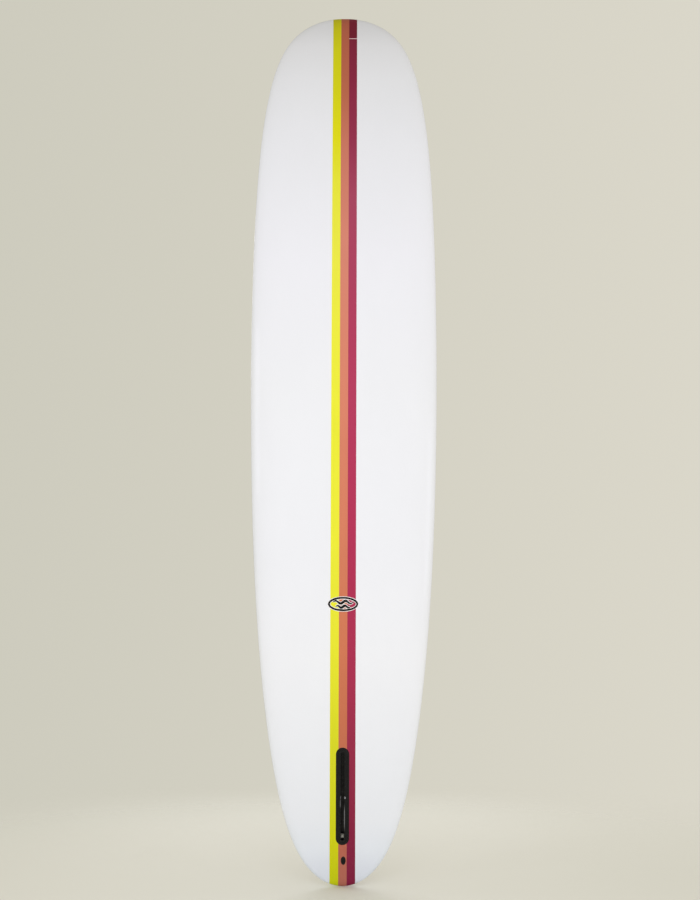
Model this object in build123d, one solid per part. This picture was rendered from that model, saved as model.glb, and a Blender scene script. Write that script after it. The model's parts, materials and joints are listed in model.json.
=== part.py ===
from build123d import *
import math
import os

# Longboard surfboard, standing on its tail. Millimetres.
# X runs across the board, Y through its thickness (the bottom faces -Y, the deck +Y),
# and Z along it, from the tail tip on the ground (Z = 0) up to the nose tip.
# The origin is under the middle of the whole board: on the centre plane, and halfway
# between the lowest point of the bottom's curve and the highest point of the nose.

# ---------------------------------------------------------------- driving dimensions
LENGTH = 2720.0
WIDTH = 572.0
THICKNESS = 76.0
TIP_THICKNESS = 23.0
WIDE_POINT = 1578.0           # height of the widest section above the tail tip
NOSE_ROCKER = 110.0           # lift of the bottom at the nose tip
TAIL_ROCKER = 70.0            # lift of the bottom at the tail tip
ROCKER_LOW_POINT = 0.47       # fraction of the length where the bottom is lowest
ROCKER_POWER = 2.6
FOIL_POWER = 2.8              # how long the thickness stays full towards the tips
RAIL_APEX = 0.34              # height of the rail's outermost line, as part of the thickness
DECK_ROUNDNESS = 2.3          # cross-section exponent of the domed deck
BOTTOM_ROUNDNESS = 7.0        # cross-section exponent of the nearly flat bottom
TIP_ROUNDING = 18.0           # length over which the tips round off in side view
TIP_FLAT = 1.0                # how much of each rounded tip is sanded flat

# Plan outline: half width = WIDTH/2 * sqrt(1 - u**power) * (1 + body*u**2 + tip*u**8),
# where u runs from 0 at the wide point to 1 at the tip.
NOSE_PLAN = {"power": 6.05, "body": -0.1485, "tip": 0.232}
TAIL_PLAN = {"power": 1.954, "body": 0.226, "tip": 0.248}

LAMINATE = 1.2                # resin and glass cloth skin
FILM = 0.4                    # depth of the printed decals under the gloss coat
LAP = 45.0                    # how far the bottom skin wraps over the rails onto the deck
STRINGER = 4.8                # wooden spine between the two foam halves
TAIL_FOAM = 440               # each half is cut here, to keep its hulls close to its shape
MIDDLE_FOAM = 24              # and below that here, beside the fin box and the leash cup

YELLOW_STRIPE = 26.0
ORANGE_STRIPE = 25.4
CRIMSON_STRIPE = 25.4
CRIMSON_SEAM = 75.0           # the crimson stripe's joint, below the nose tip

BOX_MIDDLE = 267.5            # height of the fin box's middle above the tail tip
BOX_RESIN = (290.0, 40.0, 27.0)   # length, width, depth of the potting resin
BOX_BODY = (276.0, 30.0, 25.0)
SLOT = (263.0, 9.6, 22.0)
GROOVE_WIDTH = 13.8           # side grooves that hold the fin plate
GROOVE_TOP = 6.5              # depth of the grooves' upper edge
GROOVE_HEIGHT = 3.2
DROP_IN_LENGTH = 14.0         # wider place in the slot where the plate goes in
PROUD = 8.0                   # cutters stand this far out of the surface

PLATE = (13.0, 12.0, 2.5)     # across, along, thick
PLATE_END_GAP = 6.4
SCREW_HOLE_RADIUS = 2.0
SCREW_RADIUS = 1.95
SCREW_SHANK = 12.0
SCREW_HEAD_RADIUS = 3.6
SCREW_HEAD_HEIGHT = 2.4
SCREW_HEAD_LIFT = 1.5         # gap left under the head of the slack screw

CUP_HEIGHT = 80.0             # height of the leash cup above the tail tip
CUP_RESIN = (18.0, 17.0)      # radius, depth
CUP_BODY = (15.0, 15.0)
CUP_BOWL = (11.0, 12.0)
BAR_RADIUS = 1.5
BAR_LENGTH = 26.0
BAR_DEPTH = 5.0

BADGE = (94.0, 46.0)          # plain oval badge across the stripes
BADGE_HEIGHT = 838.0
TAIL_MARK = (15.0, 25.0)      # small plain oval mark near the tail
TAIL_MARK_PLACE = (2.7, 77.0)

SECTIONS = 28                 # spans between cross-sections in the skinned body
RAIL_STEPS = 12               # points from rail to rail on each side of a cross-section
BIG = 4000.0                  # larger than the board, for cutting slabs


# ---------------------------------------------------------------- shape of the board
def half_width(z):
    """Half of the plan outline's width at height z."""
    if z >= WIDE_POINT:
        plan = NOSE_PLAN
        u = (z - WIDE_POINT) / (LENGTH - WIDE_POINT)
    else:
        plan = TAIL_PLAN
        u = (WIDE_POINT - z) / WIDE_POINT
    swell = 1 + plan["body"] * u**2 + plan["tip"] * u**8
    return WIDTH / 2 * math.sqrt(max(0.0, 1 - u ** plan["power"])) * swell


def rocker(z):
    """Lift of the bottom's centre line, before the origin shift."""
    low = ROCKER_LOW_POINT * LENGTH
    if z > low:
        return NOSE_ROCKER * ((z - low) / (LENGTH - low)) ** ROCKER_POWER
    return TAIL_ROCKER * ((low - z) / low) ** ROCKER_POWER


def foil(z):
    """Full thickness at height z, before the tips round off."""
    fullness = 1 - abs(2 * z / LENGTH - 1) ** FOIL_POWER
    return TIP_THICKNESS + (THICKNESS - TIP_THICKNESS) * fullness


def tip_round(z):
    """Factor that takes the thickness to zero at both tips, along an ellipse."""
    gap = min(z, LENGTH - z, TIP_ROUNDING)
    return math.sqrt(max(0.0, 1 - (1 - gap / TIP_ROUNDING) ** 2))


def apex(z):
    """Y of the rail's outermost line, before the origin shift."""
    return rocker(z) + RAIL_APEX * foil(z)


def deck_rise(z, inset=0.0):
    """Height of the deck's centre line above the rail apex."""
    return ((1 - RAIL_APEX) * foil(z) - inset) * tip_round(z)


def bottom_drop(z, inset=0.0):
    """Depth of the bottom's centre line below the rail apex."""
    return (RAIL_APEX * foil(z) - inset) * tip_round(z)


DEPTH = max(apex(z) + deck_rise(z) for z in range(0, int(LENGTH) + 1))
Y_SHIFT = -DEPTH / 2


def bottom_y(z):
    """Y of the bottom's centre line."""
    return apex(z) - bottom_drop(z) + Y_SHIFT


def deck_y(z):
    """Y of the deck's centre line."""
    return apex(z) + deck_rise(z) + Y_SHIFT


def profile(half, middle, height, roundness, z, side):
    """One side of a cross-section, from rail to rail, as a smooth curve."""
    points = []
    for step in range(RAIL_STEPS + 1):
        q = -math.cos(math.pi * step / RAIL_STEPS)
        rise = height * math.sqrt(max(0.0, 1 - abs(q) ** roundness))
        points.append((half * q, middle + side * rise, z))
    steps = [step / RAIL_STEPS for step in range(RAIL_STEPS + 1)]
    return Edge.make_spline(points, parameters=steps)


def stations(count):
    """Places along the board, packed closer towards the two flattened tips."""
    half = LENGTH / 2
    reach = half - TIP_FLAT
    return [half - reach * math.cos(math.pi * i / count) for i in range(count + 1)]


def drawn_in(station, inset):
    """Height of a station once the board's ends are moved inwards by the inset."""
    return inset + (station - TIP_FLAT) * (LENGTH - 2 * inset) / (LENGTH - 2 * TIP_FLAT)


def cross_section(station, inset):
    """Closed wire of the body at one station, moved inwards by the inset."""
    z = drawn_in(station, inset)
    half = half_width(station) * (1 - 2 * inset / WIDTH)
    middle = apex(station) + Y_SHIFT
    bottom = profile(half, middle, bottom_drop(station, inset), BOTTOM_ROUNDNESS, z, -1)
    deck = profile(half, middle, deck_rise(station, inset), DECK_ROUNDNESS, z, 1)
    return Wire([bottom, deck])


def board_body(inset):
    """Solid board shape, skinned over its cross-sections."""
    return Solid.make_loft([cross_section(station, inset) for station in stations(SECTIONS)])


def lap_prism():
    """Space above the rail apex and inside the lap line, where the deck skin lies."""
    places = stations(SECTIONS)
    narrow = 1 - 2 * LAP / WIDTH
    edge = [(half_width(s) * narrow, 0, drawn_in(s, LAP)) for s in places]
    mirrored = [(-x, y, z) for x, y, z in edge]
    low = Edge.make_line(mirrored[0], edge[0])
    high = Edge.make_line(edge[-1], mirrored[-1])
    plan = Face(Wire([low, Spline(*edge), high, Spline(*mirrored)]))
    prism = Solid.extrude(plan.moved(Pos(0, -BIG / 2, 0)), Vector(0, BIG, 0))
    middle = [(0, apex(s) + Y_SHIFT, s) for s in places]
    top = [(0, BIG, 2 * LENGTH), (0, BIG, -LENGTH)]
    tail, nose = middle[0], middle[-1]
    below = (0, tail[1], -LENGTH)
    above = (0, nose[1], 2 * LENGTH)
    surround = Polyline(nose, above, *top, below, tail)
    side = Face(Wire([*surround.edges(), Spline(*middle)]))
    return prism & Solid.extrude(side.moved(Pos(-BIG / 2, 0, 0)), Vector(BIG, 0, 0))


def slab(x_low, x_high, z_low=-BIG, z_high=BIG):
    """Cutting block between two X planes, and between two heights where given."""
    centre = ((x_low + x_high) / 2, 0, (z_low + z_high) / 2)
    return Pos(*centre) * Box(x_high - x_low, BIG, z_high - z_low)


# ---------------------------------------------------------------- fin box and leash cup places
BOX_LOW = BOX_MIDDLE - BOX_RESIN[0] / 2
BOX_HIGH = BOX_MIDDLE + BOX_RESIN[0] / 2
BOX_TILT = math.atan2(bottom_y(BOX_LOW) - bottom_y(BOX_HIGH), BOX_RESIN[0])
BOX_OUT = (0, -math.cos(BOX_TILT), -math.sin(BOX_TILT))
BOX_CENTRE_Y = (bottom_y(BOX_LOW) + bottom_y(BOX_HIGH)) / 2
# Local X across the board, local Y along the slot towards the nose, local Z out of it.
BOX_PLANE = Plane(origin=(0, BOX_CENTRE_Y, BOX_MIDDLE), x_dir=(1, 0, 0), z_dir=BOX_OUT)
CUP_PLANE = Plane(origin=(0, deck_y(CUP_HEIGHT), CUP_HEIGHT), x_dir=(1, 0, 0), z_dir=(0, 1, 0))
PLATE_Y = -SLOT[0] / 2 + PLATE_END_GAP + PLATE[1] / 2
PLATE_Z = -GROOVE_TOP - GROOVE_HEIGHT / 2


def stadium(length, width, top, bottom):
    """Round-ended block along the fin slot, between two local heights."""
    shape = extrude(SlotOverall(length, width, rotation=90), amount=top - bottom)
    return BOX_PLANE * (Pos(0, 0, bottom) * shape)


def slot_block(width, length, top, bottom, middle=0.0):
    """Square-ended block along the fin slot, between two local heights."""
    block = Box(width, length, top - bottom)
    return BOX_PLANE * (Pos(0, middle, (top + bottom) / 2) * block)


def cup_cylinder(radius, depth):
    """Cylinder down into the deck from just above its surface."""
    height = depth + PROUD
    return CUP_PLANE * (Pos(0, 0, PROUD - height / 2) * Cylinder(radius, height))


def plate_place(height):
    """Where a piece on the fin plate's screw axis sits, at a local height."""
    return BOX_PLANE * Pos(0, PLATE_Y, height)


# ---------------------------------------------------------------- sub-parts
def fin_box(outer):
    """Moulded box: a slot with side grooves and a drop-in place, flush with the bottom."""
    box = stadium(BOX_BODY[0], BOX_BODY[1], PROUD, -BOX_BODY[2]) & outer
    box -= stadium(SLOT[0], SLOT[1], PROUD, -SLOT[2])
    box -= slot_block(GROOVE_WIDTH, SLOT[0], -GROOVE_TOP, -GROOVE_TOP - GROOVE_HEIGHT)
    box -= slot_block(GROOVE_WIDTH, DROP_IN_LENGTH, PROUD, -GROOVE_TOP - GROOVE_HEIGHT)
    return box


def fin_box_resin(outer):
    """Black potting resin around the fin box."""
    bed = stadium(BOX_RESIN[0], BOX_RESIN[1], PROUD, -BOX_RESIN[2]) & outer
    return bed - stadium(BOX_BODY[0], BOX_BODY[1], PROUD, -BOX_BODY[2])


def fin_plate():
    """Threaded steel plate that slides in the grooves."""
    plate = Box(*PLATE) - Cylinder(SCREW_HOLE_RADIUS, 2 * PLATE[2])
    corners = plate.edges().filter_by(Axis.Z).filter_by(GeomType.LINE)
    return plate_place(PLATE_Z) * fillet(corners, 1.2)


def fin_screw():
    """Pan-head screw standing slack in the plate, with a cross recess."""
    head_base = PLATE_Z + PLATE[2] / 2 + SCREW_HEAD_LIFT
    shank = Pos(0, 0, -SCREW_SHANK / 2) * Cylinder(SCREW_RADIUS, SCREW_SHANK)
    head = Pos(0, 0, SCREW_HEAD_HEIGHT / 2) * Cylinder(SCREW_HEAD_RADIUS, SCREW_HEAD_HEIGHT)
    head = fillet(head.edges().group_by(Axis.Z)[-1], 1.2)
    slit = Pos(0, 0, SCREW_HEAD_HEIGHT) * Box(4.0, 0.9, 2.4)
    return plate_place(head_base) * (shank + head - slit - Rot(0, 0, 90) * slit)


def leash_cup(outer):
    """Round plastic cup flush with the deck, with a bowl and two holes for its bar."""
    cup = (cup_cylinder(*CUP_BODY) & outer) - cup_cylinder(*CUP_BOWL)
    return cup - leash_bar()


def leash_bar():
    """Steel bar across the leash cup, held in both of its walls."""
    bar = Rot(0, 90, 0) * Cylinder(BAR_RADIUS, BAR_LENGTH)
    return CUP_PLANE * (Pos(0, 0, -BAR_DEPTH) * bar)


def leash_cup_resin(outer):
    """Resin bed around the leash cup."""
    return (cup_cylinder(*CUP_RESIN) & outer) - cup_cylinder(*CUP_BODY)


def decal(outer, film_core, width, height, x, z):
    """Oval film on the bottom, as deep as the gloss coat over it."""
    oval = Plane(origin=(x, 0, z), x_dir=(1, 0, 0), z_dir=(0, -1, 0)) * Ellipse(width / 2, height / 2)
    return (extrude(oval, amount=BIG / 2) & outer) - film_core


def build():
    """All sub-parts by node name."""
    outer = board_body(0)
    core = board_body(LAMINATE)
    lap = lap_prism()
    box_pocket = stadium(BOX_RESIN[0], BOX_RESIN[1], PROUD, -BOX_RESIN[2])
    cup_pocket = cup_cylinder(*CUP_RESIN)
    film_core = board_body(FILM)
    badge = decal(outer, film_core, *BADGE, 0, BADGE_HEIGHT)
    dot = decal(outer, film_core, *TAIL_MARK, *TAIL_MARK_PLACE)

    blank = core - box_pocket - cup_pocket
    spine = STRINGER / 2
    parts = {
        "foam_core_left": blank & slab(-BIG / 2, -spine, TAIL_FOAM, BIG),
        "foam_core_right": blank & slab(spine, BIG / 2, TAIL_FOAM, BIG),
        "foam_tail_left": blank & slab(-BIG / 2, -MIDDLE_FOAM, -BIG, TAIL_FOAM),
        "foam_tail_right": blank & slab(MIDDLE_FOAM, BIG / 2, -BIG, TAIL_FOAM),
        "foam_middle_left": blank & slab(-MIDDLE_FOAM, -spine, -BIG, TAIL_FOAM),
        "foam_middle_right": blank & slab(spine, MIDDLE_FOAM, -BIG, TAIL_FOAM),
        "stringer": blank & slab(-spine, spine),
        "fin_box": fin_box(outer),
        "fin_box_resin": fin_box_resin(outer),
        "fin_plate": fin_plate(),
        "fin_screw": fin_screw(),
        "leash_cup": leash_cup(outer),
        "leash_bar": leash_bar(),
        "leash_cup_resin": leash_cup_resin(outer),
        "badge_decal": badge,
        "tail_mark_decal": dot,
    }

    left = -(YELLOW_STRIPE + ORANGE_STRIPE + CRIMSON_STRIPE) / 2
    edges = [-BIG / 2, left, left + YELLOW_STRIPE, left + YELLOW_STRIPE + ORANGE_STRIPE, -left, BIG / 2]
    names = ["glass_left", "stripe_yellow", "stripe_orange", "stripe_crimson", "glass_right"]
    for name, low, high in zip(names, edges, edges[1:]):
        skin = (outer & slab(low, high)) - core
        parts["deck_" + name] = (skin & lap) - cup_pocket
        parts["bottom_" + name] = skin - lap - box_pocket - badge - dot

    # The fin box cuts the orange stripe right through.
    orange = parts["bottom_stripe_orange"]
    parts["bottom_stripe_orange"] = orange & slab(-WIDTH, WIDTH, BOX_MIDDLE, BIG)
    parts["tail_stripe_orange"] = orange & slab(-WIDTH, WIDTH, -BIG, BOX_MIDDLE)

    crimson = parts["bottom_stripe_crimson"]
    seam = LENGTH - CRIMSON_SEAM
    parts["bottom_stripe_crimson"] = crimson & slab(0, WIDTH, -BIG, seam)
    parts["nose_stripe_crimson"] = crimson & slab(0, WIDTH, seam, BIG)
    return parts


os.makedirs("parts", exist_ok=True)
for node, shape in build().items():
    solids = shape.solids()
    export_step(solids[0] if len(solids) == 1 else Compound(children=solids), f"parts/{node}.step")
    print(node, len(solids), round(sum(solid.volume for solid in solids)))
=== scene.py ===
import json
import math

import bmesh
import bpy
from mathutils import Matrix, Vector


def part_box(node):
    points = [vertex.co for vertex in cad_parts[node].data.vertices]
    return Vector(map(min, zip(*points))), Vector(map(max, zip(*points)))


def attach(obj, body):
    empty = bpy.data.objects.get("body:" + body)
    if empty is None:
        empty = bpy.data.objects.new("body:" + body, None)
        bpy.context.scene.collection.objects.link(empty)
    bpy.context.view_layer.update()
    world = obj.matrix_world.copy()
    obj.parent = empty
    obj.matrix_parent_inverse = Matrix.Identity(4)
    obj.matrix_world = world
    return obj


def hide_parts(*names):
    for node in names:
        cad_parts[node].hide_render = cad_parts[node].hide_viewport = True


# A longboard surfboard that stands on its tail, bottom towards -Y and deck towards +Y.
# Metres. X runs across the board and Z along it, from the tail tip to the nose tip.

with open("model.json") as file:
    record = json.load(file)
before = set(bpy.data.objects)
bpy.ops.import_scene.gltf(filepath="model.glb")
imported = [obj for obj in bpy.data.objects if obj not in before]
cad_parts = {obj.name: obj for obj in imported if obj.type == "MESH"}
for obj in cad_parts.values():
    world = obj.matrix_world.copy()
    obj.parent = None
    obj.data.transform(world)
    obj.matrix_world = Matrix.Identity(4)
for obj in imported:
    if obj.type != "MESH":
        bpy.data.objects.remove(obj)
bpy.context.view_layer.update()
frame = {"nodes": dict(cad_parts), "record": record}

# ------------------------------------------------------------------ camera
# The camera stands in front of the bottom, a little below its middle, and looks slightly up.
CAMERA_PLACE = Vector((0.0194, -4.307, 0.825))
CAMERA_PITCH = math.radians(6.437)
CAMERA_ROLL = math.radians(0.17)
LENS_MM = 56.16

camera_data = bpy.data.cameras.new("camera")
camera_data.sensor_width = 36.0
camera_data.lens = LENS_MM
camera = bpy.data.objects.new("camera", camera_data)
bpy.context.scene.collection.objects.link(camera)
turn = Matrix.Rotation(math.pi / 2 + CAMERA_PITCH, 4, "X") @ Matrix.Rotation(CAMERA_ROLL, 4, "Z")
camera.matrix_world = Matrix.Translation(CAMERA_PLACE) @ turn
bpy.context.scene.camera = camera

# ------------------------------------------------------------------ shape of the board
LENGTH = 2.720
WIDTH = 0.572
THICKNESS = 0.076
TIP_THICKNESS = 0.023
WIDE_POINT = 1.578
NOSE_ROCKER = 0.110
TAIL_ROCKER = 0.070
ROCKER_LOW_POINT = 0.47
ROCKER_POWER = 2.6
FOIL_POWER = 2.8
RAIL_APEX = 0.34
DECK_ROUNDNESS = 2.3
BOTTOM_ROUNDNESS = 7.0
TIP_ROUNDING = 0.018
NOSE_PLAN = (6.05, -0.1485, 0.232)
TAIL_PLAN = (1.954, 0.226, 0.248)
LAP = 0.045
SKIN = 0.0011                 # thickness of the modelled laminate
BOTTOM, DECK = -1, 1


def half_width(z):
    """Half of the plan outline's width at height z."""
    if z >= WIDE_POINT:
        power, body, tip = NOSE_PLAN
        u = (z - WIDE_POINT) / (LENGTH - WIDE_POINT)
    else:
        power, body, tip = TAIL_PLAN
        u = (WIDE_POINT - z) / WIDE_POINT
    return WIDTH / 2 * math.sqrt(max(0.0, 1 - u**power)) * (1 + body * u**2 + tip * u**8)


def apex(z):
    """Y of the rail's outermost line, before the shift to the origin."""
    low = ROCKER_LOW_POINT * LENGTH
    if z > low:
        lift = NOSE_ROCKER * ((z - low) / (LENGTH - low)) ** ROCKER_POWER
    else:
        lift = TAIL_ROCKER * ((low - z) / low) ** ROCKER_POWER
    return lift + RAIL_APEX * foil(z)


def foil(z):
    """Full thickness at height z."""
    fullness = 1 - abs(2 * z / LENGTH - 1) ** FOIL_POWER
    return TIP_THICKNESS + (THICKNESS - TIP_THICKNESS) * fullness


def rise(z, side):
    """Distance from the rail apex to the centre line of the deck or the bottom."""
    share = 1 - RAIL_APEX if side == DECK else RAIL_APEX
    gap = min(max(0.0, min(z, LENGTH - z)), TIP_ROUNDING)
    return share * foil(z) * math.sqrt(max(0.0, 1 - (1 - gap / TIP_ROUNDING) ** 2))


Y_SHIFT = -max(apex(z / 1000) + rise(z / 1000, DECK) for z in range(int(LENGTH * 1000))) / 2


def skin_point(x, z, side):
    """Point of the board's surface above (x, z), on the deck or the bottom."""
    half = max(half_width(z), 1e-9)
    roundness = DECK_ROUNDNESS if side == DECK else BOTTOM_ROUNDNESS
    share = min(abs(x) / half, 1.0)
    height = rise(z, side) * math.sqrt(max(0.0, 1 - share**roundness))
    return Vector((x, apex(z) + Y_SHIFT + side * height, z))


def solve(function, target, low, high):
    """Where a rising function reaches a target."""
    for _ in range(50):
        middle = (low + high) / 2
        if function(middle) < target:
            low = middle
        else:
            high = middle
    return (low + high) / 2


def outline_ends(x):
    """Heights where the plan outline is as wide as x, near the tail and near the nose."""
    tail = solve(half_width, abs(x), 0.0, WIDE_POINT)
    nose = LENGTH - solve(lambda gap: half_width(LENGTH - gap), abs(x), 0.0, LENGTH - WIDE_POINT)
    return tail, nose


def lap_half_width(z):
    """Half width inside the lap line at height z, or 0 beyond its ends."""
    station = (z - LAP) * LENGTH / (LENGTH - 2 * LAP)
    if not 0 < station < LENGTH:
        return 0.0
    return half_width(station) * (1 - 2 * LAP / WIDTH)


# ------------------------------------------------------------------ mesh helpers
def make_piece(name, points, faces, nodes=()):
    """Mesh object from points and faces, riding on the board and standing for CAD nodes."""
    mesh = bpy.data.meshes.new(name)
    mesh.from_pydata([tuple(p) for p in points], [], faces)
    clean = bmesh.new()
    clean.from_mesh(mesh)
    bmesh.ops.remove_doubles(clean, verts=clean.verts, dist=2e-6)
    bmesh.ops.recalc_face_normals(clean, faces=clean.faces)
    clean.to_mesh(mesh)
    clean.free()
    piece = bpy.data.objects.new(name, mesh)
    bpy.context.scene.collection.objects.link(piece)
    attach(piece, "board")
    if nodes:
        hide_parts(*nodes)
    return piece


def grid_faces(rows, columns, closed=False):
    """Quads of a grid of points, row after row, closed across its columns if asked."""
    wrap = columns if closed else columns - 1
    faces = []
    for i in range(rows - 1):
        for j in range(wrap):
            k = (j + 1) % columns
            faces.append((i * columns + j, i * columns + k, (i + 1) * columns + k, (i + 1) * columns + j))
    return faces


def apply_modifiers(piece):
    """Makes the piece's modifiers part of its mesh."""
    depsgraph = bpy.context.evaluated_depsgraph_get()
    mesh = bpy.data.meshes.new_from_object(piece.evaluated_get(depsgraph))
    piece.modifiers.clear()
    piece.data = mesh


def smooth(piece, degrees=35):
    """Smooth shading with crisp edges above an angle."""
    mesh = piece.data
    mesh.shade_smooth()
    mesh.set_sharp_from_angle(angle=math.radians(degrees))


def face_outwards(piece, centre):
    """Turns an open sheet's faces away from a centre line."""
    mesh = piece.data
    score = sum((Vector(f.center) - centre(f.center.z)).dot(f.normal) * f.area for f in mesh.polygons)
    if score < 0:
        mesh.flip_normals()


def thicken(piece, depth):
    """Gives an open sheet a thickness, inwards."""
    modifier = piece.modifiers.new("thickness", "SOLIDIFY")
    modifier.thickness = depth
    modifier.offset = -1
    modifier.use_rim = True
    apply_modifiers(piece)


def sheet_piece(name, rows, nodes):
    """A strip of laminate from rows of surface points, as thick as the skin."""
    points = [p for row in rows for p in row]
    piece = make_piece(name, points, grid_faces(len(rows), len(rows[0])), nodes=nodes)
    face_outwards(piece, lambda z: Vector((0, apex(min(max(z, 0), LENGTH)) + Y_SHIFT, z)))
    thicken(piece, SKIN)
    smooth(piece)
    return piece


# ------------------------------------------------------------------ laminate
STRIPE_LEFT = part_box("bottom_stripe_yellow")[0].x
YELLOW_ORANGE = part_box("bottom_stripe_yellow")[1].x
ORANGE_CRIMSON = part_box("bottom_stripe_orange")[1].x
STRIPE_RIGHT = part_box("bottom_stripe_crimson")[1].x
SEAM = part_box("nose_stripe_crimson")[0].z
STRIPE_EDGES = {
    "yellow": (STRIPE_LEFT, YELLOW_ORANGE),
    "orange": (YELLOW_ORANGE, ORANGE_CRIMSON),
    "crimson": (ORANGE_CRIMSON, STRIPE_RIGHT),
}
LONG_STEPS = 420              # spans along the board's length
WRAP_STEPS = 20               # spans from a tip to the lap line on the deck
STRIPE_STEPS = 8              # spans across a stripe
RAIL_STEPS = 30               # spans of a bottom panel from the stripes to the rail
LAP_STEPS = 16                # spans from the rail to the lap line on the deck
DECK_STEPS = 26               # spans across a deck panel


def even_by_angle(low, high, count):
    """Values between two ends, packed closer at both."""
    return [(low + high) / 2 - (high - low) / 2 * math.cos(math.pi * i / count) for i in range(count + 1)]


def ring_path(x):
    """(z, side) along the bottom skin at one x: nose lap, over the tip, bottom, tail lap."""
    tail, nose = outline_ends(x)
    path = []
    for k in range(WRAP_STEPS):
        path.append((nose - (nose - (LENGTH - LAP)) * (1 - k / WRAP_STEPS) ** 2, DECK))
    for z in reversed(even_by_angle(tail, nose, LONG_STEPS)):
        path.append((z, BOTTOM))
    for k in range(1, WRAP_STEPS + 1):
        path.append((tail + (LAP - tail) * (k / WRAP_STEPS) ** 2, DECK))
    return path


def evenly_spaced(low, high, count):
    """Values between two ends, evenly spaced."""
    return [low + (high - low) * i / count for i in range(count + 1)]


def bottom_stripe(colour, part, nodes, z_from=None, z_to=None):
    """One stripe over the bottom and both tips, or the part of it above or below a height."""
    columns = []
    for x in evenly_spaced(*STRIPE_EDGES[colour], STRIPE_STEPS):
        path = ring_path(x)
        if z_to is not None:
            start = next(i for i, (z, side) in enumerate(path) if side == BOTTOM and z < z_to)
            path = [(z_to, BOTTOM)] + path[start:]
        if z_from is not None:
            stop = next(i for i, (z, side) in enumerate(path) if side == BOTTOM and z < z_from)
            path = path[:stop] + [(z_from, BOTTOM)]
        columns.append([skin_point(x, z, side) for z, side in path])
    rows = min(len(column) for column in columns)
    if z_to is not None:
        columns = [column[:1] + column[1 + len(column) - rows:] for column in columns]
    if z_from is not None:
        columns = [column[:rows - 1] + column[-1:] for column in columns]
    return sheet_piece(f"stripe_{colour}_{part}", columns, nodes)


def deck_stripe(colour):
    """One stripe on the deck, between the lap lines."""
    heights = evenly_spaced(LAP, LENGTH - LAP, LONG_STEPS)
    across = evenly_spaced(*STRIPE_EDGES[colour], STRIPE_STEPS)
    columns = [[skin_point(x, z, DECK) for z in heights] for x in across]
    return sheet_piece(f"stripe_{colour}_deck", columns, [f"deck_stripe_{colour}"])


def side_heights(edge):
    """Heights of the cross rows of a side panel, with the ends of its lap line among them."""
    tail, nose = outline_ends(edge)
    middle = LENGTH / 2
    tail_lap = solve(lap_half_width, abs(edge), LAP, middle)
    nose_lap = LENGTH - solve(lambda gap: lap_half_width(LENGTH - gap), abs(edge), LAP, middle)
    heights = even_by_angle(tail, nose, LONG_STEPS)
    return sorted(heights + [tail_lap, nose_lap]), tail_lap, nose_lap


def bottom_panel(name, edge, nodes):
    """White bottom skin on one side, from the stripes round the rail to the lap line."""
    side = math.copysign(1, edge)
    rows = []
    for z in side_heights(edge)[0]:
        half = max(half_width(z), abs(edge))
        inner = max(abs(edge), min(lap_half_width(z), half))
        row = []
        for k in range(RAIL_STEPS + 1):
            x = abs(edge) + (half - abs(edge)) * math.sin(math.pi / 2 * k / RAIL_STEPS)
            row.append(skin_point(side * x, z, BOTTOM))
        for k in range(1, LAP_STEPS + 1):
            x = half - (half - inner) * (k / LAP_STEPS) ** 2
            row.append(skin_point(side * x, z, DECK))
        rows.append(row)
    return sheet_piece(name, rows, nodes)


def deck_panel(name, edge, nodes):
    """White deck skin on one side, inside the lap line."""
    side = math.copysign(1, edge)
    heights, tail_lap, nose_lap = side_heights(edge)
    rows = []
    for z in [z for z in heights if tail_lap <= z <= nose_lap]:
        wide = max(lap_half_width(z), abs(edge))
        rows.append([skin_point(side * x, z, DECK) for x in evenly_spaced(abs(edge), wide, DECK_STEPS)])
    return sheet_piece(name, rows, nodes)


white_pieces = [
    bottom_panel("bottom_panel_left", STRIPE_LEFT, ["bottom_glass_left"]),
    bottom_panel("bottom_panel_right", STRIPE_RIGHT, ["bottom_glass_right"]),
    deck_panel("deck_panel_left", STRIPE_LEFT, ["deck_glass_left"]),
    deck_panel("deck_panel_right", STRIPE_RIGHT, ["deck_glass_right"]),
]
# Each stripe's main bottom piece comes first and its deck piece last.
stripe_pieces = {
    "yellow": [
        bottom_stripe("yellow", "bottom", ["bottom_stripe_yellow"]),
        deck_stripe("yellow"),
    ],
    "orange": [
        bottom_stripe("orange", "bottom", ["bottom_stripe_orange", "tail_stripe_orange"]),
        deck_stripe("orange"),
    ],
    "crimson": [
        bottom_stripe("crimson", "bottom", ["bottom_stripe_crimson"], z_to=SEAM),
        bottom_stripe("crimson", "nose", ["nose_stripe_crimson"], z_from=SEAM),
        deck_stripe("crimson"),
    ],
}

# ------------------------------------------------------------------ fin box
MOUNTS = {mount["name"]: mount for mount in frame["record"]["mounts"]}
BOX_ORIGIN = Vector(MOUNTS["fin_slot"]["pos_m"])
BOX_ALONG = Vector(MOUNTS["fin_slot"]["axis"])
BOX_OUT = Vector(MOUNTS["fin_slot_floor"]["axis"])
FLOOR_DEPTH = (BOX_ORIGIN - Vector(MOUNTS["fin_slot_floor"]["pos_m"])).dot(BOX_OUT)
RESIN_HALF, RESIN_STRAIGHT = 0.020, 0.125     # half width, half length of the straight sides
BODY_HALF, BODY_STRAIGHT = 0.015, 0.123
SLOT_HALF, SLOT_STRAIGHT = 0.0048, 0.1267
GROOVE_HALF, GROOVE_TOP, GROOVE_BOTTOM = 0.0069, 0.0065, 0.0097
RESIN_UNDER, BODY_UNDER = -0.027, -0.025      # heights of the two undersides
HOLE_UNDER, HOLE_TOP = -0.030, 0.010          # ends of the hole through the laminate
GAP = 0.00005                 # between a moulding and the resin around it
DROP_IN_HALF = 0.007          # half length of the drop-in place
DROP_IN_SLOPE = 0.0008        # length over which the slot widens into it
DROP_IN_ROWS = (0.0061, 0.0065, 0.0068, 0.0070, 0.0072, 0.0076)   # rows of points near its ends
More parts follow.
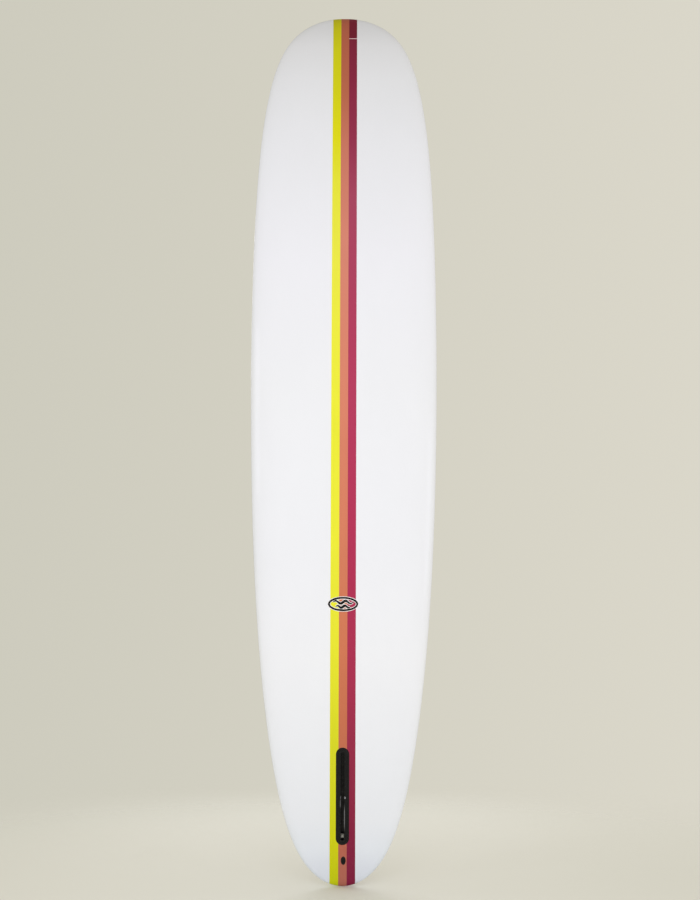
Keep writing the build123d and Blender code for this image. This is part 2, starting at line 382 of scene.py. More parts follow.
SIDE_STEPS = 40               # other spans along half of a straight side
END_STEPS = 22                # spans round an end
END_MARGIN = 0.1              # angle between a straight side and an end's first point
LIP_STEPS = 5                 # spans over a rounded lip
FLUSH = "flush"               # (FLUSH, offset) is a height measured from the board's surface


def box_point(x, y, z):
    """Point in the fin box's own frame, in the row frame."""
    return BOX_ORIGIN + Vector((x, 0, 0)) + BOX_ALONG * y + BOX_OUT * z


def flush_height(x, y):
    """Height of the board's surface above the fin box's middle plane."""
    z = 0.0
    for _ in range(4):
        place = box_point(x, y, z)
        surface = skin_point(x, place.z, BOTTOM)
        z += (surface.y - place.y) / BOX_OUT.y
    return z


def side_places():
    """Places along a straight side, from -1 to 1, closer together around the drop-in place."""
    coarse = [i / SIDE_STEPS for i in range(-SIDE_STEPS, SIDE_STEPS + 1)]
    close = [side * row / SLOT_STRAIGHT for side in (-1, 1) for row in DROP_IN_ROWS]
    return sorted(set(coarse + close))


def stadium_ring(half, straight, height, notch=0.0, square=False):
    """Closed ring round the slot, with round or square ends; a notch widens the drop-in place."""
    def widen(y):
        ramp = (abs(y) - DROP_IN_HALF + DROP_IN_SLOPE / 2) / DROP_IN_SLOPE
        return half + notch * (1 - min(1.0, max(0.0, ramp)))

    def end_point(angle):
        across, along = math.cos(angle), math.sin(angle)
        if square:
            corner = math.sqrt(2)
            across, along = max(-1.0, min(1.0, corner * across)), min(1.0, corner * along)
        return half * across, straight + (SLOT_HALF if square else half) * along

    places = [t * straight for t in side_places()]
    end = [end_point(angle) for angle in evenly_spaced(END_MARGIN, math.pi - END_MARGIN, END_STEPS)]
    flat = [(widen(y), y) for y in places] + end
    flat += [(-widen(y), y) for y in reversed(places)] + [(-x, -y) for x, y in end]
    ring = []
    for x, y in flat:
        level = flush_height(x, y) + height[1] if isinstance(height, tuple) else height
        ring.append(box_point(x, y, level))
    return ring


def skinned(name, rings, nodes=()):
    """Closed solid skinned over rings, whose first and last rings have no width."""
    points = [p for ring in rings for p in ring]
    return make_piece(name, points, grid_faces(len(rings), len(rings[0]), closed=True), nodes)


def moulding(name, rings, nodes):
    """Smooth solid skinned over rings."""
    piece = skinned(name, rings, nodes)
    smooth(piece, 30)
    return piece


def fin_box_rings():
    """Rings of the box, from under its floor, up its outside, over the rim and down the slot."""
    notch = GROOVE_HALF - SLOT_HALF
    lip, bend = 0.0009, 0.001     # radii of the slot's lip and of its floor's edge
    rings = [
        stadium_ring(0.0, BODY_STRAIGHT, BODY_UNDER),
        stadium_ring(BODY_HALF, BODY_STRAIGHT, BODY_UNDER),
        stadium_ring(BODY_HALF, BODY_STRAIGHT, (FLUSH, -0.0003)),
        stadium_ring(BODY_HALF - 0.0003, BODY_STRAIGHT, (FLUSH, -0.00005)),
        stadium_ring(BODY_HALF - 0.0012, BODY_STRAIGHT, (FLUSH, 0.0)),
        stadium_ring(0.010, BODY_STRAIGHT + 0.002, (FLUSH, -0.0001)),
    ]
    for k in range(LIP_STEPS + 1):
        angle = math.pi / 2 * k / LIP_STEPS
        half = SLOT_HALF + lip * (1 - math.sin(angle))
        level = -0.00015 - lip * (1 - math.cos(angle))
        rings.append(stadium_ring(half, SLOT_STRAIGHT, (FLUSH, level), notch))
    rings += [
        stadium_ring(SLOT_HALF, SLOT_STRAIGHT, -GROOVE_TOP, notch),
        stadium_ring(GROOVE_HALF, SLOT_STRAIGHT, -GROOVE_TOP, square=True),
        stadium_ring(GROOVE_HALF, SLOT_STRAIGHT, -GROOVE_BOTTOM, square=True),
        stadium_ring(SLOT_HALF, SLOT_STRAIGHT, -GROOVE_BOTTOM),
        stadium_ring(SLOT_HALF, SLOT_STRAIGHT, -FLOOR_DEPTH + bend),
        stadium_ring(SLOT_HALF - bend, SLOT_STRAIGHT, -FLOOR_DEPTH),
        stadium_ring(0.0, SLOT_STRAIGHT, -FLOOR_DEPTH),
    ]
    return rings


def resin_rings():
    """Rings of the potting resin, from under it, up its outside, over its rim and down inside."""
    return [
        stadium_ring(0.0, RESIN_STRAIGHT, RESIN_UNDER),
        stadium_ring(RESIN_HALF, RESIN_STRAIGHT, RESIN_UNDER),
        stadium_ring(RESIN_HALF, RESIN_STRAIGHT, (FLUSH, -0.0002)),
        stadium_ring(RESIN_HALF - 0.0002, RESIN_STRAIGHT, (FLUSH, 0.00002)),
        stadium_ring(RESIN_HALF - 0.002, RESIN_STRAIGHT, (FLUSH, 0.00005)),
        stadium_ring(BODY_HALF + 0.0006, BODY_STRAIGHT, (FLUSH, 0.0)),
        stadium_ring(BODY_HALF + GAP, BODY_STRAIGHT, (FLUSH, -0.0002)),
        stadium_ring(BODY_HALF + GAP, BODY_STRAIGHT, BODY_UNDER - GAP),
        stadium_ring(0.0, BODY_STRAIGHT, BODY_UNDER - GAP),
    ]


def cut_hole(pieces, rings):
    """Cuts the closed solid over some rings out of each piece."""
    cutter = skinned("cutter", rings)
    for piece in pieces:
        modifier = piece.modifiers.new("hole", "BOOLEAN")
        modifier.operation = "DIFFERENCE"
        modifier.solver = "EXACT"
        modifier.object = cutter
        apply_modifiers(piece)
        smooth(piece)
    bpy.data.objects.remove(cutter)


fin_box = moulding("fin_box_moulding", fin_box_rings(), ["fin_box"])
fin_box_resin = moulding("fin_box_potting", resin_rings(), ["fin_box_resin"])
box_hole = [
    stadium_ring(0.0, RESIN_STRAIGHT, HOLE_UNDER), stadium_ring(RESIN_HALF, RESIN_STRAIGHT, HOLE_UNDER),
    stadium_ring(RESIN_HALF, RESIN_STRAIGHT, HOLE_TOP), stadium_ring(0.0, RESIN_STRAIGHT, HOLE_TOP),
]
cut_hole([pieces[0] for pieces in stripe_pieces.values()], box_hole)

# ------------------------------------------------------------------ leash cup
CUP_PLACE = Vector(MOUNTS["leash_bar"]["pos_m"])
CUP_TOP = skin_point(0, CUP_PLACE.z, DECK).y
CUP_RESIN_RADIUS, CUP_RADIUS, BOWL_RADIUS = 0.018, 0.015, 0.011
CUP_RESIN_UNDER, CUP_UNDER, BOWL_DEPTH = 0.017, 0.015, 0.012      # depths below the deck
CUP_HOLE_UNDER, CUP_HOLE_TOP = 0.02, -0.01    # depths of the ends of the hole through the laminate
CUP_STEPS = 96                # spans round the cup
BEND_STEPS = 6                # spans over the bowl's rounded bottom edge


def cup_ring(radius, depth):
    """Ring about the cup's axis, at a depth below the deck or at (FLUSH, offset) from it."""
    ring = []
    for k in range(CUP_STEPS):
        angle = 2 * math.pi * k / CUP_STEPS
        x, z = radius * math.cos(angle), CUP_PLACE.z + radius * math.sin(angle)
        if isinstance(depth, tuple):
            level = skin_point(x, z, DECK).y + depth[1]
        else:
            level = CUP_TOP - depth
        ring.append(Vector((x, level, z)))
    return ring


def leash_cup_rings():
    """Rings of the cup: under it, up its outside, over its lip and down into its bowl."""
    lip, bend = 0.0010, 0.003     # radii of the bowl's lip and of its bottom edge
    rings = [cup_ring(0, CUP_UNDER), cup_ring(CUP_RADIUS, CUP_UNDER)]
    rings += [cup_ring(CUP_RADIUS, (FLUSH, -0.0003)), cup_ring(CUP_RADIUS - 0.0003, (FLUSH, 0.0))]
    for k in range(LIP_STEPS + 1):
        angle = math.pi / 2 * k / LIP_STEPS
        inset = lip * (1 - math.sin(angle))
        rings.append(cup_ring(BOWL_RADIUS + inset, (FLUSH, -lip * (1 - math.cos(angle)))))
    rings.append(cup_ring(BOWL_RADIUS, BOWL_DEPTH - bend))
    for k in range(1, BEND_STEPS + 1):
        angle = math.pi / 2 * k / BEND_STEPS
        inset = bend * (1 - math.cos(angle))
        rings.append(cup_ring(BOWL_RADIUS - inset, BOWL_DEPTH - bend + bend * math.sin(angle)))
    rings.append(cup_ring(0, BOWL_DEPTH))
    return rings


def cup_resin_rings():
    """Rings of the resin bed around the cup."""
    return [
        cup_ring(0, CUP_RESIN_UNDER), cup_ring(CUP_RESIN_RADIUS, CUP_RESIN_UNDER),
        cup_ring(CUP_RESIN_RADIUS, (FLUSH, -0.0002)), cup_ring(CUP_RESIN_RADIUS - 0.0003, (FLUSH, 0.00003)),
        cup_ring(CUP_RADIUS + 0.0004, (FLUSH, -0.0001)), cup_ring(CUP_RADIUS + GAP, (FLUSH, -0.0004)),
        cup_ring(CUP_RADIUS + GAP, CUP_UNDER + GAP), cup_ring(0, CUP_UNDER + GAP),
    ]


leash_cup = moulding("leash_cup_moulding", leash_cup_rings(), ["leash_cup"])
leash_resin = moulding("leash_cup_bed", cup_resin_rings(), ["leash_cup_resin"])
cup_hole = [
    cup_ring(0, CUP_HOLE_UNDER), cup_ring(CUP_RESIN_RADIUS, CUP_HOLE_UNDER),
    cup_ring(CUP_RESIN_RADIUS, CUP_HOLE_TOP), cup_ring(0, CUP_HOLE_TOP),
]
cut_hole([pieces[-1] for pieces in stripe_pieces.values()], cup_hole)

# ------------------------------------------------------------------ printed marks
BADGE_LOW, BADGE_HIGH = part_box("badge_decal")
MARK_LOW, MARK_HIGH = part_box("tail_mark_decal")
FILM = 0.00004                # thickness of one printed layer
PALE_LIFT = 1.2 * FILM        # height of the lower layer above the laminate
DARK_LIFT = 2.4 * FILM        # height of the upper layer
EDGE = 0.0016                 # width of the pale edge round each dark stroke
ACROSS = (-1, -0.33, 0.33, 1)  # points across a stroke, in half widths
OVAL_STROKE, SEAM_STROKE = 0.0056, 0.0022     # widths of the badge's oval and of the seam line
BADGE_INSET = 0.0045          # from the badge's edge to the middle of its oval stroke
WAVE_STEPS = 60               # spans along a wave line
FILL_RINGS, FILL_STEPS = 6, 48                # spans of a filled oval, outwards and round
SEAM_STEPS = 12               # spans along the seam line


def film_point(x, z, lift):
    """Point just above the bottom surface."""
    return skin_point(x, z, BOTTOM) + Vector((0, -lift, 0))


def film(name, points, faces, nodes=()):
    """Thin printed layer on the bottom, from a sheet of points."""
    piece = make_piece(name, points, faces, nodes=nodes)
    face_outwards(piece, lambda z: Vector((0, apex(z) + Y_SHIFT, z)))
    thicken(piece, FILM)
    smooth(piece)
    return piece


def stroke(name, path, widths, lift, nodes=(), closed=False):
    """Flat printed stroke along a path of (x, z), lying on the bottom."""
    count = len(path)
    points = []
    for i, (x, z) in enumerate(path):
        before = path[(i - 1) % count] if closed or i else path[0]
        after = path[(i + 1) % count] if closed or i < count - 1 else path[-1]
        along = Vector((after[0] - before[0], after[1] - before[1])).normalized()
        for share in ACROSS:
            offset = widths[i] / 2 * share
            points.append(film_point(x - along.y * offset, z + along.x * offset, lift))
    if closed:
        points += points[:len(ACROSS)]
        count += 1
    return film(name, points, grid_faces(count, len(ACROSS)), nodes)


def oval_path(centre, half_x, half_z, count=96):
    """Closed oval as (x, z) places."""
    angles = [2 * math.pi * i / count for i in range(count)]
    return [(centre.x + half_x * math.cos(a), centre.z + half_z * math.sin(a)) for a in angles]


def oval_film(name, centre, half_x, half_z, lift, nodes=()):
    """Filled printed oval."""
    sizes = [(half_x * k / FILL_RINGS, half_z * k / FILL_RINGS) for k in range(FILL_RINGS + 1)]
    rings = [oval_path(centre, wide, high, FILL_STEPS) for wide, high in sizes]
    points = [film_point(x, z, lift) for ring in rings for x, z in ring]
    return film(name, points, grid_faces(len(rings), FILL_STEPS, closed=True), nodes)


def wave_path(centre, half_length, height):
    """Two humps of a wave line as (x, z) places."""
    steps = [2 * i / WAVE_STEPS - 1 for i in range(WAVE_STEPS + 1)]
    return [(centre.x + half_length * t, centre.z + height * math.sin(2 * math.pi * t)) for t in steps]


def badge():
    """Plain oval with two wave lines in it, each dark stroke on a wider pale one."""
    middle = (BADGE_LOW + BADGE_HIGH) / 2
    half_x = (BADGE_HIGH.x - BADGE_LOW.x) / 2 - BADGE_INSET
    half_z = (BADGE_HIGH.z - BADGE_LOW.z) / 2 - BADGE_INSET
    ring = oval_path(middle, half_x, half_z)
    upper = wave_path(middle + Vector((0, 0, 0.0056)), half_x * 0.70, 0.0040)
    lower = wave_path(middle - Vector((0, 0, 0.0078)), half_x * 0.52, 0.0030)
    swell = [0.0024 + 0.0052 * math.sin(math.pi * i / WAVE_STEPS) for i in range(WAVE_STEPS + 1)]
    strokes = [("oval", ring, [OVAL_STROKE] * len(ring)), ("upper", upper, swell), ("lower", lower, swell)]
    dark, pale = [], []
    for name, path, widths in strokes:
        closed = name == "oval"
        wide = [width + 2 * EDGE for width in widths]
        nodes = ["badge_decal"] if closed else []
        pale.append(stroke("badge_edge_" + name, path, wide, PALE_LIFT, (), closed))
        dark.append(stroke("badge_" + name, path, widths, DARK_LIFT, nodes, closed))
    return dark, pale


badge_dark, badge_pale = badge()
mark_middle = (MARK_LOW + MARK_HIGH) / 2
mark_half = (MARK_HIGH - MARK_LOW) / 2
tail_mark = oval_film("tail_mark_oval", mark_middle, mark_half.x, mark_half.z, PALE_LIFT,
                      ["tail_mark_decal"])
seam_path = [(x, SEAM) for x in evenly_spaced(*STRIPE_EDGES["crimson"], SEAM_STEPS)]
seam_widths = [SEAM_STROKE] * len(seam_path)
seam_line = stroke("crimson_seam_line", seam_path, seam_widths, PALE_LIFT)

# ------------------------------------------------------------------ materials
class Surface:
    """A Principled material and the few node patterns that the board's finishes need."""

    def __init__(self, name, colour, roughness, **sockets):
        self.material = bpy.data.materials.new(name)
        self.material.use_nodes = True
        self.nodes = self.material.node_tree.nodes
        self.links = self.material.node_tree.links
        self.shader = self.nodes["Principled BSDF"]
        self.shader.inputs["Base Color"].default_value = (*colour, 1)
        self.shader.inputs["Roughness"].default_value = roughness
        for socket, value in sockets.items():
            self.shader.inputs[socket.replace("_", " ")].default_value = value
        self.place = self.nodes.new("ShaderNodeTexCoord").outputs["Object"]
        self.bump = None

    def noise(self, scale, detail=3.0, stretch=(1, 1, 1), distortion=0.0):
        """Noise value over the surface, stretched along an axis where asked."""
        mapping = self.nodes.new("ShaderNodeMapping")
        mapping.inputs["Scale"].default_value = stretch
        self.links.new(self.place, mapping.inputs["Vector"])
        texture = self.nodes.new("ShaderNodeTexNoise")
        texture.inputs["Scale"].default_value = scale
        texture.inputs["Detail"].default_value = detail
        texture.inputs["Distortion"].default_value = distortion
        self.links.new(mapping.outputs["Vector"], texture.inputs["Vector"])
        return texture.outputs["Fac"]

    def waves(self, scale, axis, distortion=0.4):
        """Fine parallel threads across an axis."""
        texture = self.nodes.new("ShaderNodeTexWave")
        texture.bands_direction = axis
        texture.inputs["Scale"].default_value = scale
        texture.inputs["Distortion"].default_value = distortion
        texture.inputs["Detail"].default_value = 1.0
        self.links.new(self.place, texture.inputs["Vector"])
        return texture.outputs["Fac"]

    def ramp(self, value, stops):
        """Colour or grey from a value, through a few (position, colour) stops."""
        node = self.nodes.new("ShaderNodeValToRGB")
        elements = node.color_ramp.elements
        for _ in stops[2:]:
            elements.new(0.5)
        for element, (position, colour) in zip(elements, stops):
            element.position = position
            element.color = (*colour, 1) if isinstance(colour, tuple) else (colour, colour, colour, 1)
        self.links.new(value, node.inputs["Fac"])
        return node.outputs["Color"]

    def mix(self, share, first, second, mode="MIX"):
        """Mixes two colours by a share; any of the three may be a value or a link."""
        node = self.nodes.new("ShaderNodeMix")
        node.data_type = "RGBA"
        node.blend_type = mode
        for socket, value in ((node.inputs[0], share), (node.inputs[6], first), (node.inputs[7], second)):
            if isinstance(value, bpy.types.NodeSocket):
                self.links.new(value, socket)
            elif isinstance(value, tuple):
                socket.default_value = (*value, 1)
            else:
                socket.default_value = value
        return node.outputs[2]

    def height(self, axis, low, high):
        """0 to 1 along an axis of the row frame, between two places."""
        split = self.nodes.new("ShaderNodeSeparateXYZ")
        self.links.new(self.place, split.inputs[0])
        ranged = self.nodes.new("ShaderNodeMapRange")
        ranged.inputs["From Min"].default_value = low
        ranged.inputs["From Max"].default_value = high
        self.links.new(split.outputs[axis], ranged.inputs["Value"])
        return ranged.outputs["Result"]

    def spot(self, centre, size):
        """1 inside a soft-edged ellipse of half sizes (x, z), seen from the front, 0 outside it."""
        value = self.place
        for operation, operand in (("SUBTRACT", centre), ("MULTIPLY", (1 / size[0], 0, 1 / size[1]))):
            node = self.nodes.new("ShaderNodeVectorMath")
            node.operation = operation
            node.inputs[1].default_value = operand
            self.links.new(value, node.inputs[0])
            value = node.outputs["Vector"]
        reach = self.nodes.new("ShaderNodeVectorMath")
        reach.operation = "LENGTH"
        self.links.new(value, reach.inputs[0])
        ranged = self.nodes.new("ShaderNodeMapRange")
        ranged.interpolation_type = "SMOOTHSTEP"
        for socket, number in (("From Min", 0.4), ("From Max", 1.0), ("To Min", 1.0), ("To Max", 0.0)):
            ranged.inputs[socket].default_value = number
        self.links.new(reach.outputs["Value"], ranged.inputs["Value"])
        return ranged.outputs["Result"]

    def colour(self, socket):
        """Uses a colour link as the base colour."""
        self.links.new(socket, self.shader.inputs["Base Color"])

    def roughness(self, value, low, high):
        """Lets a pattern vary the roughness between two values."""
        ranged = self.nodes.new("ShaderNodeMapRange")
        ranged.inputs["From Min"].default_value = 0.3
        ranged.inputs["From Max"].default_value = 0.7
        ranged.inputs["To Min"].default_value = low
        ranged.inputs["To Max"].default_value = high
        self.links.new(value, ranged.inputs["Value"])
        self.links.new(ranged.outputs["Result"], self.shader.inputs["Roughness"])

    def relief(self, value, depth, strength=1.0):
        """Adds a pattern to the surface's bumps, depth in metres."""
        node = self.nodes.new("ShaderNodeBump")
        node.inputs["Distance"].default_value = depth
        node.inputs["Strength"].default_value = strength
        self.links.new(value, node.inputs["Height"])
        if self.bump:
            self.links.new(self.bump, node.inputs["Normal"])
        self.bump = node.outputs["Normal"]
        self.links.new(self.bump, self.shader.inputs["Normal"])


def scaled(colour, factor):
    """A colour made lighter or darker."""
    return tuple(min(1.0, channel * factor) for channel in colour)


def painted_shading(surface, colour, stops):
    """Painted light and shade along the board; each stop is a height and a factor per channel."""
    along = surface.height("Z", 0.0, LENGTH)
    shades = [(z / LENGTH, tuple(c * f for c, f in zip(colour, factor))) for z, factor in stops]
    return surface.ramp(along, shades)


def glossy_laminate(name, colour, mottle, stops=None):
    """Polished resin over glass cloth: cloudy pigmented colour, faint weave, polish haze, and painted light
    and shade along the board where stops are given.
    """
    gloss = {"IOR": 1.45, "Specular_IOR_Level": 0.22, "Coat_Weight": 0.12, "Coat_Roughness": 0.05}
    surface = Surface(name, colour, 0.14, **gloss)
    # Where stops are given, they paint light and shade along the board into the colour.
    base = painted_shading(surface, colour, stops) if stops else colour
    clouds = surface.ramp(surface.noise(9.0, 5.0, (1, 1, 0.35), 0.6), [(0.30, 1 - mottle), (0.70, 1.0)])
    grain = surface.ramp(surface.noise(900.0, 2.0), [(0.35, 0.975), (0.65, 1.0)])
    surface.colour(surface.mix(1.0, surface.mix(1.0, base, clouds, "MULTIPLY"), grain, "MULTIPLY"))
    surface.roughness(surface.noise(28.0, 4.0, (1, 1, 0.5)), 0.10, 0.20)
    surface.relief(surface.waves(260.0, "X"), 0.000006)
    surface.relief(surface.waves(260.0, "Z"), 0.000006)
    surface.relief(surface.noise(14.0, 2.0), 0.00004, 0.6)
    return surface


def moulded_plastic(name, colour, roughness, painted_glints=()):
    """Black plastic or resin with fine grain and lengthwise scuffs, and painted grey highlights at listed
    spots.
    """
    surface = Surface(name, colour, roughness, IOR=1.5, Specular_IOR_Level=0.25)
    scuffs = surface.noise(420.0, 3.0, (6, 6, 0.25))
    shade = surface.ramp(scuffs, [(0.45, colour), (0.72, scaled(colour, 2.4))])
    # Each listed spot is a painted highlight: greyer plastic where light glints on the slot's lips and
    # corners.
    for x, z, half_x, half_z, grey in painted_glints:
        shade = surface.mix(surface.spot((x, 0, z), (half_x, half_z)), shade, (grey, grey, grey * 1.05))
    surface.colour(shade)
    surface.roughness(surface.noise(120.0, 3.0), roughness * 0.75, roughness * 1.4)
    surface.relief(surface.noise(1400.0, 2.0), 0.00002)
    return surface


def steel(name, shade=1.0):
    """Stainless steel with fine turning marks; a shade below 1 darkens its colour as painted shade."""
    surface = Surface(name, (0.72, 0.72, 0.71), 0.25, Metallic=1.0)
    marks = surface.noise(900.0, 3.0, (0.2, 6, 6))
    dark, light = scaled((0.60, 0.60, 0.60), shade), scaled((0.82, 0.82, 0.81), shade)
    surface.colour(surface.ramp(marks, [(0.35, dark), (0.65, light)]))
    surface.roughness(marks, 0.16, 0.34)
    surface.relief(marks, 0.00001)
    return surface


def foam():
    """Sanded foam with small open cells."""
    surface = Surface("foam", (0.85, 0.84, 0.79), 0.8)
    cells = surface.noise(1100.0, 2.0)
    surface.colour(surface.ramp(cells, [(0.4, (0.80, 0.79, 0.73)), (0.6, (0.89, 0.88, 0.84))]))
    surface.relief(cells, 0.0001)
    return surface


def wood():
    """Pale straight-grained wood."""
    surface = Surface("stringer_wood", (0.62, 0.42, 0.22), 0.55)
    grain = surface.noise(60.0, 5.0, (14, 14, 0.6), 0.8)
    surface.colour(surface.ramp(grain, [(0.35, (0.44, 0.26, 0.12)), (0.65, (0.70, 0.50, 0.29))]))
    surface.relief(grain, 0.0001)
    return surface


def printed(name, colour):
    """Ink under the gloss coat, a little uneven."""
    surface = Surface(name, colour, 0.16, Specular_IOR_Level=0.2, Coat_Weight=0.15, Coat_Roughness=0.04)
    ink = surface.noise(220.0, 3.0)
    surface.colour(surface.ramp(ink, [(0.4, scaled(colour, 0.85)), (0.6, scaled(colour, 1.15))]))
    surface.roughness(surface.noise(60.0, 3.0), 0.12, 0.22)
    return surface


WHITE = (0.835, 0.842, 0.872)
BLACK = (0.0025, 0.0025, 0.003)
PALE_INK, SEAM_INK = (0.82, 0.80, 0.80), (0.80, 0.56, 0.60)
# Painted light and shade along the board for each colour: a height and a factor for red, green and blue.
WHITE_PAINTED_SHADING = [
    (0.00, (0.84, 0.89, 0.97)), (0.06, (0.90, 0.94, 1.01)), (0.11, (0.96, 1.00, 1.05)),
    (0.20, (1.00, 1.02, 1.05)), (0.67, (1.02, 1.025, 1.03)), (0.95, (0.985, 0.99, 1.00)),
    (1.50, (0.98, 0.985, 0.99)), (1.90, (1.00, 1.00, 1.03)), (2.30, (0.985, 0.99, 1.02)),
    (2.50, (0.955, 0.96, 0.985)), (2.62, (0.90, 0.90, 0.92)), (2.72, (0.75, 0.75, 0.76))]
# Each stripe's own colour, then its painted light and shade along the board, as for the white.
STRIPE_COLOURS_AND_PAINTED_SHADING = {
    "yellow": ((0.84, 0.775, 0.028), [
        (0.00, (0.69, 0.81, 0.05)), (0.12, (0.79, 0.86, 0.05)), (0.35, (0.83, 0.91, 0.40)),
        (0.80, (0.98, 1.03, 1.07)), (1.35, (0.97, 1.05, 1.10)), (1.95, (0.98, 1.05, 2.10)),
        (2.15, (0.96, 1.03, 1.40)), (2.30, (0.90, 0.94, 0.05)), (2.60, (0.75, 0.80, 0.02)),
        (2.68, (0.64, 0.66, 0.02)), (2.72, (0.50, 0.50, 0.02))]),
    "orange": ((0.67, 0.205, 0.125), [
        (0.00, (0.68, 0.71, 0.83)), (0.12, (0.72, 0.64, 0.66)), (0.48, (0.87, 0.81, 0.64)),
        (0.80, (0.95, 0.92, 0.73)), (1.35, (1.01, 1.04, 1.02)), (1.95, (1.00, 1.14, 1.33)),
        (2.25, (0.91, 0.94, 1.04)), (2.45, (0.75, 0.69, 0.58)), (2.60, (0.68, 0.57, 0.50)),
        (2.68, (0.60, 0.50, 0.44)), (2.72, (0.49, 0.42, 0.36))]),
    "crimson": ((0.465, 0.020, 0.100), [
        (0.00, (0.49, 0.40, 0.48)), (0.15, (0.53, 0.54, 0.50)), (0.35, (0.63, 0.90, 0.57)),
        (0.60, (0.84, 1.20, 0.76)), (0.95, (0.93, 1.10, 0.82)), (1.35, (0.96, 1.60, 1.00)),
        (1.70, (0.90, 2.00, 1.05)), (2.10, (0.83, 2.70, 1.15)), (2.30, (0.66, 1.25, 0.75)),
        (2.50, (0.53, 0.65, 0.50)), (2.64, (0.42, 0.40, 0.34)), (2.646, (0.33, 0.20, 0.22)),
        (2.72, (0.32, 0.12, 0.18))]),
}
# Painted highlights on the fin box, greyer plastic where the slot's lips and drop-in corners catch the
# light: x, z, half width, half length and how grey.
PAINTED_GLINTS = [
    (-0.0062, 0.246, 0.0022, 0.017, 0.09), (0.0058, 0.204, 0.0022, 0.046, 0.15),
    (-0.0055, 0.263, 0.0022, 0.005, 0.20), (0.0072, 0.263, 0.0025, 0.004, 0.45),
]


def paint(surface, pieces):
    """Puts a material on pieces or carried-over CAD nodes."""
    for piece in pieces:
        piece.data.materials.clear()
        piece.data.materials.append(surface.material)


NODES = frame["nodes"]
# The white and the stripes carry painted light and shade along the board.
paint(glossy_laminate("white_laminate", WHITE, 0.012, WHITE_PAINTED_SHADING), white_pieces)
for stripe, (colour, stops) in STRIPE_COLOURS_AND_PAINTED_SHADING.items():
    paint(glossy_laminate(f"{stripe}_laminate", colour, 0.06, stops), stripe_pieces[stripe])
paint(printed("print_dark", BLACK), badge_dark + [tail_mark])
paint(printed("print_pale", PALE_INK), badge_pale)
paint(printed("seam_pale", SEAM_INK), [seam_line])
paint(moulded_plastic("box_plastic", BLACK, 0.30, PAINTED_GLINTS), [fin_box])
paint(moulded_plastic("cup_plastic", BLACK, 0.30), [leash_cup])
paint(moulded_plastic("black_resin", (0.003, 0.003, 0.0035), 0.18), [fin_box_resin])
paint(steel("stainless_steel"), [NODES["leash_bar"]])
# The screw and the plate down in the slot get darker steel colour as painted shade.
paint(steel("screw_steel_painted_shade", 0.6), [NODES["fin_screw"]])
paint(steel("plate_steel_painted_shade", 0.3), [NODES["fin_plate"]])
paint(glossy_laminate("clear_resin", (0.78, 0.78, 0.76), 0.03), [leash_resin])
paint(foam(), [node for name, node in NODES.items() if name.startswith("foam")])
paint(wood(), [NODES["stringer"]])

# ------------------------------------------------------------------ floor, light and background
FLOOR_RADIUS, FLOOR_LEVEL = 3.0, -0.0015
FADE_START, FADE_END = 0.5, 2.6               # distances over which the floor fades out
BACKGROUND_LEFT, BACKGROUND_RIGHT = (0.612, 0.598, 0.512, 1), (0.705, 0.680, 0.590, 1)
BACKGROUND_REACH = 0.25       # direction's X over which one passes into the other
COOL = (0.86, 0.87, 1.0)
# Name, place, point aimed at, size, watts and whether the light shows in reflections.
LIGHTS = [
    ("key", (0.0, -2.5, 1.30), (0, 0, 1.30), 1.5, 27.0, False),
    ("back_key", (0.0, 2.5, 1.40), (0, 0, 1.40), 1.5, 27.0, False),
    ("side_left", (-2.3, -2.4, 1.9), (0, 0, 1.2), 1.1, 9.0, True),
    ("side_right", (2.3, -2.4, 1.2), (0, 0, 1.0), 1.1, 7.0, True),
    ("back_left", (-1.5, 2.6, 2.4), (0, 0, 1.4), 1.0, 9.0, True),
]


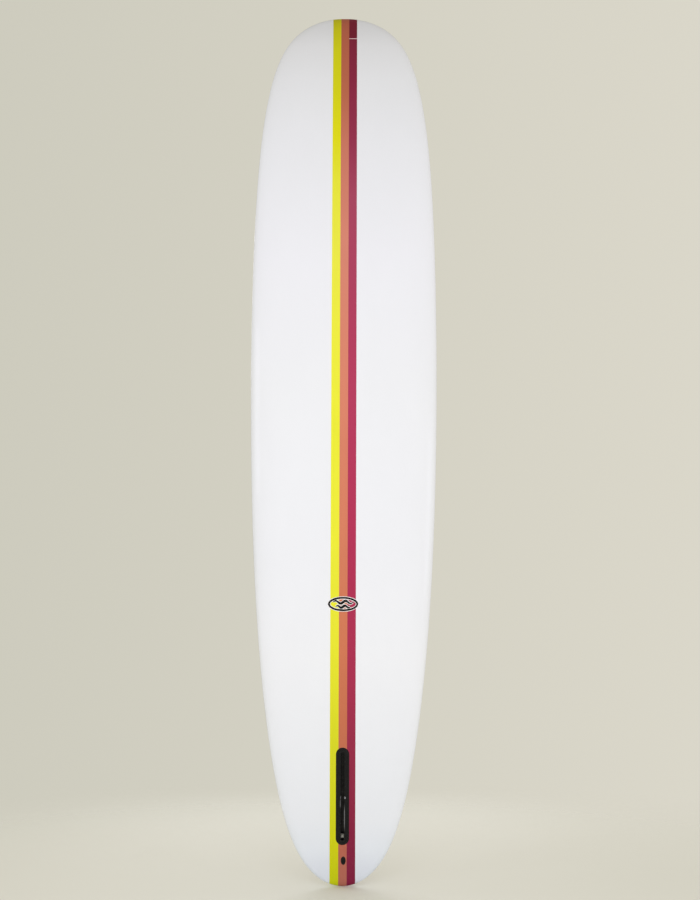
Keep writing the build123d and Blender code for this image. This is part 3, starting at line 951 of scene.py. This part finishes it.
def fading_floor():
    """Pale round floor that fades out before its edge."""
    mesh = bpy.data.meshes.new("floor")
    shape = bmesh.new()
    bmesh.ops.create_circle(shape, cap_ends=True, segments=96, radius=FLOOR_RADIUS)
    shape.to_mesh(mesh)
    shape.free()
    floor = bpy.data.objects.new("floor", mesh)
    bpy.context.scene.collection.objects.link(floor)
    floor.location.z = FLOOR_LEVEL
    surface = Surface("floor", (0.74, 0.73, 0.66), 0.7, IOR=1.2)
    spread = surface.nodes.new("ShaderNodeVectorMath")
    spread.operation = "LENGTH"
    surface.links.new(surface.place, spread.inputs[0])
    fade = surface.nodes.new("ShaderNodeMapRange")
    fade.interpolation_type = "SMOOTHSTEP"
    ends = (("From Min", FADE_START), ("From Max", FADE_END), ("To Min", 1.0), ("To Max", 0.0))
    for socket, value in ends:
        fade.inputs[socket].default_value = value
    surface.links.new(spread.outputs["Value"], fade.inputs["Value"])
    surface.links.new(fade.outputs["Result"], surface.shader.inputs["Alpha"])
    mesh.materials.append(surface.material)


def area_light(name, place, aim, size, power, glossy):
    """Soft, cool, square light that the camera doesn't see."""
    data = bpy.data.lights.new(name, "AREA")
    data.shape = "SQUARE"
    data.size = size
    data.energy = power
    data.color = COOL
    light = bpy.data.objects.new(name, data)
    bpy.context.scene.collection.objects.link(light)
    light.location = place
    light.rotation_euler = (Vector(aim) - Vector(place)).to_track_quat("-Z", "Y").to_euler()
    light.visible_camera = False
    light.visible_glossy = glossy


def backdrop():
    """Even pale surroundings, a little brighter towards +X."""
    world = bpy.data.worlds.new("surroundings")
    bpy.context.scene.world = world
    world.use_nodes = True
    nodes, links = world.node_tree.nodes, world.node_tree.links
    place = nodes.new("ShaderNodeTexCoord")
    split = nodes.new("ShaderNodeSeparateXYZ")
    ramp = nodes.new("ShaderNodeMapRange")
    ramp.inputs["From Min"].default_value = -BACKGROUND_REACH
    ramp.inputs["From Max"].default_value = BACKGROUND_REACH
    mix = nodes.new("ShaderNodeMix")
    mix.data_type = "RGBA"
    mix.inputs[6].default_value = BACKGROUND_LEFT
    mix.inputs[7].default_value = BACKGROUND_RIGHT
    links.new(place.outputs["Generated"], split.inputs[0])
    links.new(split.outputs["X"], ramp.inputs["Value"])
    links.new(ramp.outputs["Result"], mix.inputs[0])
    links.new(mix.outputs[2], nodes["Background"].inputs["Color"])


fading_floor()
backdrop()
for light in LIGHTS:
    area_light(*light)
bpy.context.scene.view_settings.view_transform = "Standard"
